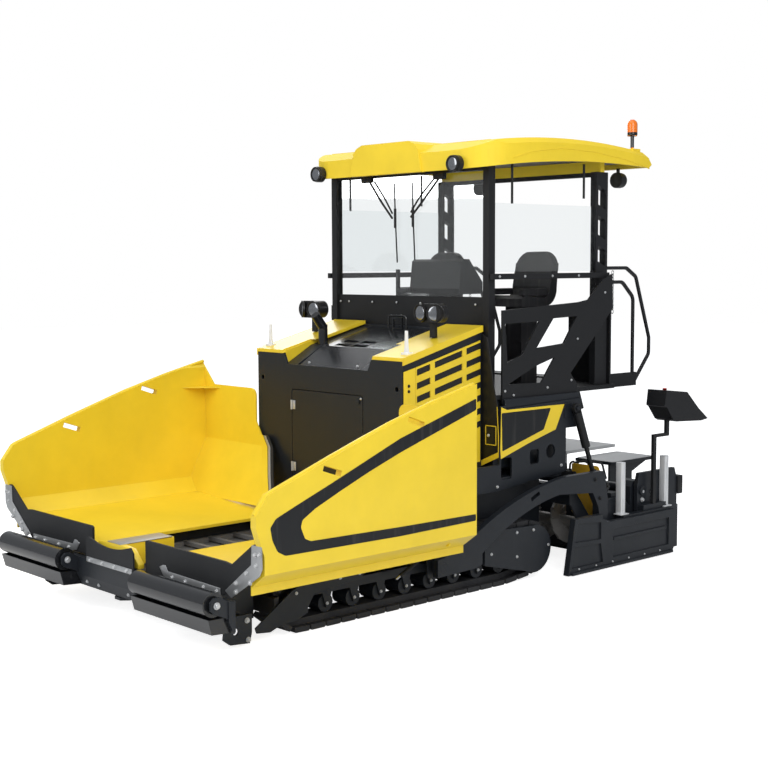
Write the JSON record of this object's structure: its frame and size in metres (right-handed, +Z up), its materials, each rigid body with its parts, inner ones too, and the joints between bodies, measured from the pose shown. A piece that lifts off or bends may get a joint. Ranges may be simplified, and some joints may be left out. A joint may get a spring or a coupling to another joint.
{
  "type": "tracked asphalt road paver",
  "caption": "Self-propelled crawler road paver with folding hopper wings, conveyor, augers, operator platform under a canopy, and a lifting, extending screed.",
  "frame": {"origin": "on the ground under the middle of the machine, midway between the push rollers and the walkway's rear edge", "axes": "+Z up, +Y towards the rear (the screed), -Y towards the hopper, +X to the machine's left"},
  "size_m": [3.72, 6.04, 4.145],
  "materials": {
    "chassis_paint": "satin",
    "track_pad": "matte",
    "yellow_paint": "gloss",
    "apron_rubber": "matte",
    "black_steel": "gloss",
    "black_paint": "satin",
    "worn_steel": "worn",
    "chrome_rod": "polished",
    "engine_iron": "matte",
    "black_plastic": "matte",
    "clear_glass": "clear",
    "beacon_plastic": "clear",
    "seat_plastic": "satin",
    "grey_plate": "matte"
  },
  "bodies": {
    "tractor": {"main_frame": "chassis_paint", "push_carrier": "chassis_paint", "auger_carrier": "chassis_paint", "rear_housing": "chassis_paint", "centre_flap": "apron_rubber", "conveyor": "worn_steel", "engine_block": "engine_iron", "hood_shell": "chassis_paint", "hood_cheeks": "yellow_paint", "hood_louvres": "yellow_paint", "exhaust_stub": "black_paint", "work_lamps": "black_plastic", "platform_deck": "black_paint", "cab_frame": "black_paint", "windscreen": "clear_glass", "side_screens": "clear_glass", "canopy": "yellow_paint", "beacon": "beacon_plastic", "roof_lamps": "black_plastic", "seats": "seat_plastic", "console": "black_plastic", "handrails": "black_paint", "access_step": "black_paint", "track_left": "track_pad", "track_frame_left": "chassis_paint", "side_panel_left": "chassis_paint", "platform_side_left": "black_paint", "levelling_left": "black_paint", "track_right": "track_pad", "track_frame_right": "chassis_paint", "side_panel_right": "chassis_paint", "platform_side_right": "black_paint", "levelling_right": "black_paint"},
    "lid": {"hood_lid": "black_paint"},
    "door": {"service_door": "chassis_paint"},
    "screed": {"tow_arm_left": "chassis_paint", "tow_arm_right": "chassis_paint", "screed_body": "chassis_paint", "screed_walkway": "grey_plate"},
    "wing_left": {"hopper_wing_left": "yellow_paint", "hopper_apron_left": "apron_rubber"},
    "push_left": {"push_roller_left": "black_steel"},
    "auger_left": {"auger_left": "worn_steel"},
    "extension_left": {"extension_left": "chassis_paint", "end_plate_left": "chassis_paint", "control_post_left": "black_paint"},
    "barrel_left": {"lift_barrel_left": "black_paint"},
    "rod_left": {"lift_rod_left": "chrome_rod"},
    "wing_right": {"hopper_wing_right": "yellow_paint", "hopper_apron_right": "apron_rubber"},
    "push_right": {"push_roller_right": "black_steel"},
    "auger_right": {"auger_right": "worn_steel"},
    "extension_right": {"extension_right": "chassis_paint", "end_plate_right": "chassis_paint", "control_post_right": "black_paint"},
    "barrel_right": {"lift_barrel_right": "black_paint"},
    "rod_right": {"lift_rod_right": "chrome_rod"}
  },
  "joints": [
    {"name": "hopper_left_fold", "type": "hinge", "parent": "tractor", "child": "wing_left", "pos_m": [0.45, -1.65, 0.5], "axis": [0, -1, 0], "range_deg": [0, 45]},
    {"name": "hopper_right_fold", "type": "hinge", "parent": "tractor", "child": "wing_right", "pos_m": [-0.45, -1.65, 0.5], "axis": [0, 1, 0], "range_deg": [0, 45]},
    {"name": "service_door_hinge", "type": "hinge", "parent": "tractor", "child": "door", "pos_m": [-0.482, -0.629, 1.235], "axis": [0, 0, 1], "range_deg": [-90, 0]},
    {"name": "hood_lid_hinge", "type": "hinge", "parent": "tractor", "child": "lid", "pos_m": [0, -0.58, 1.875], "axis": [1, 0, 0], "range_deg": [0, 60]},
    {"name": "screed_lift", "type": "hinge", "parent": "tractor", "child": "screed", "pos_m": [0, -0.52, 0.3], "axis": [1, 0, 0], "range_deg": [0, 6]},
    {"name": "push_roller_left_spin", "type": "hinge", "parent": "tractor", "child": "push_left", "pos_m": [1.028, -2.93, 0.432], "axis": [1, 0, 0], "continuous": true},
    {"name": "auger_left_spin", "type": "hinge", "parent": "tractor", "child": "auger_left", "pos_m": [0.65, 1.5, 0.37], "axis": [1, 0, 0], "continuous": true},
    {"name": "extension_left_slide", "type": "slide", "parent": "screed", "child": "extension_left", "axis": [1, 0, 0], "range_m": [0, 1.1]},
    {"name": "lift_barrel_left_hinge", "type": "hinge", "parent": "tractor", "child": "barrel_left", "pos_m": [1.255, 1.29, 1.48], "axis": [1, 0, 0], "range_deg": [0, 1.81]},
    {"name": "lift_rod_left_slide", "type": "slide", "parent": "barrel_left", "child": "rod_left", "axis": [0, -0.3688, 0.9295], "range_m": [0, 0.22249]},
    {"name": "push_roller_right_spin", "type": "hinge", "parent": "tractor", "child": "push_right", "pos_m": [-1.028, -2.93, 0.432], "axis": [1, 0, 0], "continuous": true},
    {"name": "auger_right_spin", "type": "hinge", "parent": "tractor", "child": "auger_right", "pos_m": [-0.65, 1.5, 0.37], "axis": [1, 0, 0], "continuous": true},
    {"name": "extension_right_slide", "type": "slide", "parent": "screed", "child": "extension_right", "axis": [-1, 0, 0], "range_m": [0, 1.1]},
    {"name": "lift_barrel_right_hinge", "type": "hinge", "parent": "tractor", "child": "barrel_right", "pos_m": [-1.255, 1.29, 1.48], "axis": [1, 0, 0], "range_deg": [0, 1.81]},
    {"name": "lift_rod_right_slide", "type": "slide", "parent": "barrel_right", "child": "rod_right", "axis": [0, -0.3688, 0.9295], "range_m": [0, 0.22249]}
  ],
  "couplings": [
    {"joint": "lift_barrel_left_hinge", "follows": "screed_lift", "ratio": 0.30146},
    {"joint": "lift_rod_left_slide", "follows": "screed_lift", "m_per_rad": 2.1244},
    {"joint": "lift_barrel_right_hinge", "follows": "screed_lift", "ratio": 0.30146},
    {"joint": "lift_rod_right_slide", "follows": "screed_lift", "m_per_rad": 2.1244}
  ]
}
